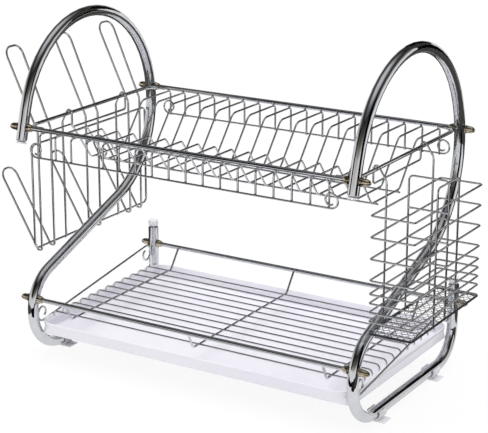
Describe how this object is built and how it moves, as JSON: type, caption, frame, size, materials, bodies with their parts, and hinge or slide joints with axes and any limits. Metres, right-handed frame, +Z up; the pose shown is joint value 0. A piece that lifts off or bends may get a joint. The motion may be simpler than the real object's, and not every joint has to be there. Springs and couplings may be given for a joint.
{
  "type": "dish rack",
  "caption": "Dish rack with bent tube side frames, a plate rack above a bottom grille and drip tray, a hooked-on cup holder and a hooked-on cutlery basket.",
  "frame": {"origin": "on the surface the rack stands on, under the middle of its bounding box", "axes": "+X along the rack from the cup holder to the cutlery basket, +Y to the rear posts, +Z up"},
  "size_m": [0.52, 0.2574, 0.3804],
  "materials": {
    "frame_tube": "bright chrome plate on steel tube",
    "rail": "bright chrome plate, cone nuts warm nickel",
    "wire": "bright chrome plate on steel wire",
    "nut": "polished, warm nickel tint",
    "cap": "milky translucent",
    "plug": "milky translucent",
    "foot": "milky translucent",
    "tray": "milky translucent, faint violet grey",
    "basket_floor": "chrome-plated mesh sheet"
  },
  "bodies": {
    "rack": {"bottom_grille": "wire", "front_fence_rail": "wire", "left_front_foot": "foot", "left_leg_plug": "plug", "left_post_cap": "cap", "left_rear_foot": "foot", "left_scroll_brace": "wire", "left_side_frame": "frame_tube", "lower_front_rail": "rail", "lower_front_rail_left_nut": "nut", "lower_front_rail_right_nut": "nut", "lower_rear_rail": "rail", "lower_rear_rail_left_nut": "nut", "lower_rear_rail_right_nut": "nut", "plate_divider_01": "wire", "plate_divider_02": "wire", "plate_divider_03": "wire", "plate_divider_04": "wire", "plate_divider_05": "wire", "plate_divider_06": "wire", "plate_divider_07": "wire", "plate_divider_08": "wire", "plate_divider_09": "wire", "plate_divider_10": "wire", "plate_divider_11": "wire", "plate_divider_12": "wire", "plate_divider_13": "wire", "plate_divider_14": "wire", "plate_divider_15": "wire", "plate_divider_16": "wire", "plate_divider_17": "wire", "plate_divider_18": "wire", "plate_front_support_wire": "wire", "plate_rear_support_wire": "wire", "rear_fence_rail": "wire", "right_front_foot": "foot", "right_leg_plug": "plug", "right_post_cap": "cap", "right_rear_foot": "foot", "right_scroll_brace": "wire", "right_side_frame": "frame_tube", "upper_front_rail": "rail", "upper_front_rail_left_nut": "nut", "upper_front_rail_right_nut": "nut", "upper_left_end_rail": "wire", "upper_rear_rail": "rail", "upper_rear_rail_left_nut": "nut", "upper_rear_rail_right_nut": "nut", "upper_right_end_rail": "wire"},
    "drip_tray": {"drip_tray": "tray"},
    "cup_holder": {"cup_holder_frame": "wire", "cup_holder_hook": "wire", "front_cup_prong": "wire", "middle_cup_prong": "wire", "rear_cup_prong": "wire"},
    "cutlery_basket": {"cutlery_basket_floor": "basket_floor", "cutlery_basket_wires": "wire"}
  },
  "joints": [
    {"name": "tray_lift", "type": "slide", "parent": "rack", "child": "drip_tray", "axis": [0, 0, 1], "range_m": [0, 0.01]},
    {"name": "cup_holder_lift", "type": "slide", "parent": "rack", "child": "cup_holder", "axis": [0, 0, 1], "range_m": [0, 0.02]},
    {"name": "cutlery_basket_lift", "type": "slide", "parent": "rack", "child": "cutlery_basket", "axis": [0, 0, 1], "range_m": [0, 0.02]}
  ]
}
